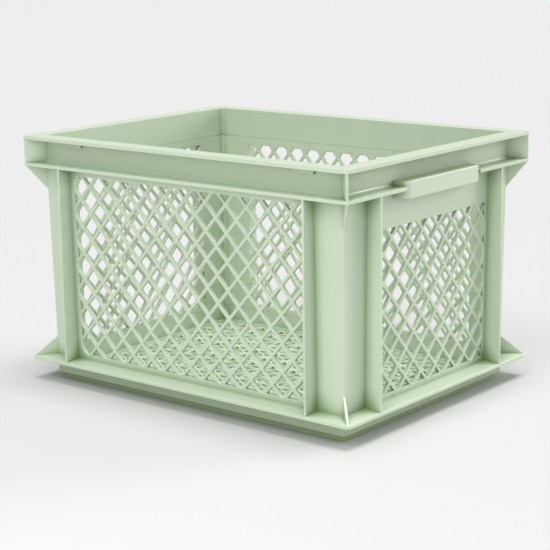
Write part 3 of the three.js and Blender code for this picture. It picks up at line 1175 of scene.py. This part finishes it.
@dataclass
class CornerPost(Region):
    """An angled corner shell with the diagonal gussets that brace both flanges."""

    corner: Corner
    gusset: float = 2.4 * MM
    upper_gusset: float = 26 * MM
    lower_gusset: float = 21 * MM
    tip: float = 1 * MM
    base_edge_top: float = 24 * MM
    bite: float = 0.5 * MM
    softness: float = 0.35 * MM

    def shell(self) -> bpy.types.Object:
        """Builds the post itself, cut from a tapering tube.

        Returns:
            The post.
        """
        plan = self.layout
        low_inset = plan.rim_depth + plan.draft
        outer, inner = plan.post_radius, plan.inner_radius
        tube = ring(
            f"{self.corner.label}_post",
            plan,
            [
                Station(low_inset, plan.wall_low, outer),
                Station(plan.rim_depth, plan.rim_low, outer),
                Station(plan.rim_depth + plan.wall, plan.rim_low, inner),
                Station(low_inset + plan.wall, plan.wall_low, inner),
            ],
        )
        bpy.context.view_layer.objects.active = tube
        tube.select_set(True)
        bpy.ops.object.mode_set(mode="EDIT")
        sign_x, sign_y = self.corner.value
        for point, away in (
            ((sign_x * (plan.length / 2 - plan.corner_reach), 0, 0), (-sign_x, 0, 0)),
            ((0, sign_y * (plan.width / 2 - plan.corner_reach), 0), (0, -sign_y, 0)),
        ):
            bpy.ops.mesh.select_all(action="SELECT")
            bpy.ops.mesh.bisect(plane_co=point, plane_no=away, use_fill=True, clear_outer=True)
        bpy.ops.object.mode_set(mode="OBJECT")
        bpy.ops.object.shade_smooth_by_angle(angle=math.radians(SMOOTH_BELOW))
        return tube

    def gussets(self) -> list[bpy.types.Object]:
        """Builds the two diagonal gussets outside the post.

        Returns:
            The upper and the lower gusset.
        """
        plan = self.layout
        root = plan.post_radius - plan.wall / 2
        low_root = root - plan.draft * math.sqrt(2)
        rim_reach = plan.diagonal(plan.rim_corner)
        base_reach = plan.diagonal(plan.base_corner)
        upper_low = plan.rim_low - self.upper_gusset
        rise = self.upper_gusset - self.tip
        upper = diagonal_plate(
            f"{self.corner.label}_upper_gusset",
            self.corner,
            (root, rim_reach),
            (upper_low, plan.rim_low + self.bite),
            self.gusset,
            ((root, 0, upper_low), (rise, 0, -(rim_reach - root))),
            plan,
        )
        low_top = self.base_edge_top + self.lower_gusset
        fall = self.lower_gusset - self.tip
        lower = diagonal_plate(
            f"{self.corner.label}_lower_gusset",
            self.corner,
            (low_root, base_reach),
            (self.base_edge_top - self.bite, low_top),
            self.gusset,
            ((low_root, 0, low_top), (fall, 0, base_reach - low_root)),
            plan,
        )
        return [upper, lower]

    def build(self) -> bpy.types.Object:
        """Builds the post with its gussets.

        Returns:
            The post.
        """
        shell = self.shell()
        gussets = self.gussets()
        for gusset in gussets:
            soften(gusset, self.softness)
        return join(f"{self.corner.label}_corner", [shell, *gussets])

    def nodes(self) -> list[str]:
        """The frame's node that the post stands for."""
        return [f"{self.corner.label}_post"]


@dataclass
class Rib(Region):
    """An upright rib between the base flange and the lower rim flange."""

    side: Side
    place: str
    sunk: float = 3 * MM
    foot_bite: float = 1 * MM
    head_bite: float = 0.5 * MM
    inner_gap: float = 0.4 * MM
    softness: float = 0.4 * MM

    def build(self) -> bpy.types.Object:
        """Builds the rib, with its inner edge sunk into the wall and its ends into the flanges.

        Returns:
            The rib.
        """
        plan = self.layout
        low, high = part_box(f"{self.side.label}_rib_{self.place}")
        unturn = Matrix.Rotation(-self.side.turn, 3, "Z")
        first, second = unturn @ low, unturn @ high
        x_low, x_high = sorted((first.x, second.x))
        outer = -plan.out(self.side)
        face = outer + plan.rim_depth
        piece = Workpiece(f"{self.side.label}_upright_{self.place}")
        piece.block(
            Vector((x_low, outer, low.z - self.foot_bite)),
            Vector((x_high, face + plan.draft + self.sunk, high.z + self.head_bite)),
        )
        inner = (0, face + plan.wall - self.inner_gap, plan.rim_low)
        piece.cut(inner, (0, math.cos(plan.lean), math.sin(plan.lean)))
        piece.turn_all(self.side.turn, "Z")
        rib = piece.done()
        soften(rib, self.softness)
        return rib

    def nodes(self) -> list[str]:
        """The frame's node that the rib stands for."""
        return [f"{self.side.label}_rib_{self.place}"]


@dataclass
class Grip(Region):
    """A hollow grip on a short side, open below for the fingers."""

    side: Side
    wall: float = 2.5 * MM
    taper: float = 5 * MM
    edge_radius: float = 3.5 * MM
    edge_steps: int = 6
    sunk: float = 2.4 * MM
    softness: float = 0.8 * MM

    def build(self) -> bpy.types.Object:
        """Builds the grip: a tapering block with rounded front corners, hollowed from below.

        Returns:
            The grip.
        """
        low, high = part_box(f"{self.side.label}_grip")
        half = (high.y - low.y) / 2
        outer = -self.layout.out(self.side)
        back = outer + self.layout.rim_depth + self.sunk
        piece = Workpiece(f"{self.side.label}_handle")
        piece.block(Vector((-half, outer, low.z)), Vector((half, back, high.z)))
        piece.pick(Kind.VERT, lambda v: abs(v.co.y - outer) < NEAR)
        piece.spread(1 - self.taper / half, 1, 1)
        piece.pick(
            Kind.EDGE,
            lambda e: all(abs(v.co.y - outer) < NEAR for v in e.verts)
            and abs(e.verts[0].co.z - e.verts[1].co.z) > NEAR,
        )
        piece.round_edges(self.edge_radius, self.edge_steps)
        piece.pick(Kind.FACE, lambda face: face.normal.z < -LEVEL)
        piece.inset(self.wall)
        piece.extrude_faces((0, 0, high.z - low.z - self.wall))
        piece.turn_all(self.side.turn, "Z")
        grip = piece.done()
        soften(grip, self.softness, SOFT_STEPS)
        return grip

    def nodes(self) -> list[str]:
        """The frame's node that the grip stands for."""
        return [f"{self.side.label}_grip"]


@dataclass
class StarFloor(Region):
    """The floor: a deep grid of bars that meet in stars of eight, with three-cornered gaps."""

    half_x: float
    half_y: float
    columns: int = 13
    rows: int = 13
    bar: float = 2.2 * MM
    border: float = 1 * MM
    rounding: float = 0.4 * MM
    rounding_steps: int = 2
    smooth_below: float = 50

    def build(self) -> bpy.types.Object:
        """Builds the floor: a sheet of cells, each poked into four gaps, given its depth.

        Returns:
            The floor.
        """
        low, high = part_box("floor_grid")
        piece = Workpiece("star_floor")
        edge_x, edge_y = self.half_x - self.border, self.half_y - self.border
        piece.sheet(self.columns, self.rows, 2 * edge_x, 2 * edge_y)
        bpy.ops.mesh.poke()
        piece.pick(Kind.FACE, lambda face: True)
        piece.inset_each(self.bar / 2)
        piece.drop_faces()
        sides = (
            (0, edge_x, self.border),
            (0, -edge_x, -self.border),
            (1, edge_y, self.border),
            (1, -edge_y, -self.border),
        )
        for axis, place, by in sides:
            piece.pick(
                Kind.EDGE,
                lambda e: e.is_boundary
                and all(abs(v.co[axis] - place) < ON_PLANE for v in e.verts),
            )
            piece.extrude_edges((by, 0, 0) if axis == 0 else (0, by, 0))
        piece.pick(Kind.FACE, lambda face: True)
        piece.extrude_faces((0, 0, low.z - high.z))
        piece.weld()
        piece.pick(
            Kind.EDGE,
            lambda e: all(abs(v.co.z) < ON_PLANE for v in e.verts)
            and any(face.normal.z < LEVEL for face in e.link_faces),
        )
        piece.round_edges(self.rounding, self.rounding_steps)
        bpy.ops.mesh.select_all(action="SELECT")
        piece.move((0, 0, high.z))
        return piece.done(self.smooth_below)

    def nodes(self) -> list[str]:
        """The frame's node that the floor stands for."""
        return ["floor_grid"]

    def finish(self) -> MouldedPlastic:
        """The floor's finish, painted slightly lighter as painted light, with lighter painted shade
        in its gaps.
        """
        return MouldedPlastic.of_floor()


@dataclass(frozen=True)
class SeamlessPaper:
    """The pale studio ground."""

    name: str = "studio_ground"
    tone: float = 0.61
    roughness: float = 0.9

    def material(self) -> bpy.types.Material:
        """Builds the material."""
        colour = (self.tone, self.tone, self.tone, 1)
        return Shader(self.name).dress(Base_Color=colour, Roughness=self.roughness)


@dataclass(frozen=True)
class SoftBox:
    """A wide soft light, far enough away to light the crate and the ground evenly."""

    name: str
    toward: tuple[float, float, float]
    strength: float
    spread: float = 30

    def build(self) -> None:
        """Adds the light, which shines from the direction that toward gives."""
        data = bpy.data.lights.new(self.name, "SUN")
        data.energy = self.strength
        data.angle = math.radians(self.spread)
        lamp = bpy.data.objects.new(self.name, data)
        bpy.context.scene.collection.objects.link(lamp)
        lamp.rotation_euler = (-Vector(self.toward)).to_track_quat("-Z", "Y").to_euler()


@dataclass(frozen=True)
class Panel:
    """A square soft light close to the crate."""

    name: str = "near_panel"
    place: tuple[float, float, float] = (0.35, -1.05, 0.35)
    aim: tuple[float, float, float] = (0.0, 0.0, 0.12)
    size: float = 0.6
    power: float = 2.2

    def build(self) -> None:
        """Adds the light and turns it towards its aim."""
        data = bpy.data.lights.new(self.name, "AREA")
        data.size = self.size
        data.energy = self.power
        lamp = bpy.data.objects.new(self.name, data)
        bpy.context.scene.collection.objects.link(lamp)
        lamp.location = self.place
        way = Vector(self.aim) - Vector(self.place)
        lamp.rotation_euler = way.to_track_quat("-Z", "Y").to_euler()


@dataclass
class Studio:
    """The camera, the soft lights and the ground."""

    azimuth: float = -39.15
    elevation: float = 12.56
    roll: float = -0.85
    distance: float = 1.8526
    target: tuple[float, float, float] = (-0.13053, 0.15773, 0.06046)
    focal_pixels: float = 1638.56
    image_pixels: float = 550
    sensor: float = 36
    ground_half: float = 30
    sky: float = 0.38
    lights: tuple[Union[SoftBox, Panel], ...] = (
        SoftBox("side", (1.0, 1.8, 0.6), 1.5),
        SoftBox("key", (0.2, 0.0, 2.2), 2.1),
        SoftBox("front", (0.1, -1.0, 1.3), 0.9),
        Panel(),
    )

    def camera(self) -> None:
        """Adds the camera at the photograph's viewing angle."""
        data = bpy.data.cameras.new("camera")
        camera = bpy.data.objects.new("camera", data)
        bpy.context.scene.collection.objects.link(camera)
        azimuth, elevation = math.radians(self.azimuth), math.radians(self.elevation)
        view = Vector(
            (
                math.sin(azimuth) * math.cos(elevation),
                math.cos(azimuth) * math.cos(elevation),
                -math.sin(elevation),
            )
        )
        right = Vector((math.cos(azimuth), -math.sin(azimuth), 0))
        up = right.cross(view)
        roll = math.radians(self.roll)
        rolled_right = math.cos(roll) * right + math.sin(roll) * up
        rolled_up = math.cos(roll) * up - math.sin(roll) * right
        axes = Matrix((rolled_right, rolled_up, -view)).transposed()
        place = Vector(self.target) - self.distance * view
        camera.matrix_world = Matrix.Translation(place) @ axes.to_4x4()
        data.sensor_width = self.sensor
        data.lens = self.focal_pixels / self.image_pixels * self.sensor
        data.clip_end = 2 * self.ground_half
        bpy.context.scene.camera = camera

    def world(self) -> None:
        """Surrounds the scene with an even pale sky."""
        world = bpy.data.worlds.new("studio")
        world.use_nodes = True
        background = world.node_tree.nodes["Background"]
        background.inputs[0].default_value = (1, 1, 1, 1)
        background.inputs[1].default_value = self.sky
        bpy.context.scene.world = world

    def ground(self) -> None:
        """Lays the pale ground."""
        piece = Workpiece("ground")
        piece.sheet(4, 4, 2 * self.ground_half, 2 * self.ground_half)
        ground = piece.done()
        ground.data.materials.append(SeamlessPaper().material())
        ground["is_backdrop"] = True

    def build(self) -> None:
        """Sets up the studio."""
        self.camera()
        self.world()
        self.ground()
        for light in self.lights:
            light.build()
        bpy.context.scene.view_settings.view_transform = "Standard"


@dataclass
class Crate:
    """The whole crate: every region of the moulding, on the frame's body."""

    layout: Layout
    floor_gap: float = 0.1 * MM

    def regions(self) -> list[Region]:
        """Lists every region, in the order of building.

        Returns:
            The regions.
        """
        plan = self.layout
        base = Base(plan)
        inside = base.foot_inside + self.floor_gap
        floor = StarFloor(plan, plan.length / 2 - inside, plan.width / 2 - inside)
        walls = [GridWall.of_side(plan, side) for side in Side]
        posts = [CornerPost(plan, corner) for corner in Corner]
        ribs = [Rib(plan, side, place) for side in Side for place in ("a", "b")]
        grips = [Grip(plan, side) for side in (Side.RIGHT, Side.LEFT)]
        return [Rim(plan), base, *walls, *posts, *ribs, *grips, floor]

    def build(self) -> None:
        """Builds and dresses every region."""
        materials: dict[MouldedPlastic, bpy.types.Material] = {}
        for region in self.regions():
            finish = region.finish()
            if finish not in materials:
                materials[finish] = finish.material()
            piece = region.build()
            region.dress(piece, materials[finish])
            faces = len(piece.data.polygons)
            LOG.info("%s: %d faces, for %s", piece.name, faces, ", ".join(region.nodes()))


def main() -> None:
    """Builds the studio and the crate."""
    logging.basicConfig(level=logging.INFO, format="%(message)s")
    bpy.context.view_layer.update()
    Studio().build()
    Crate(Layout.of_frame()).build()


if __name__ == "__main__":
    main()
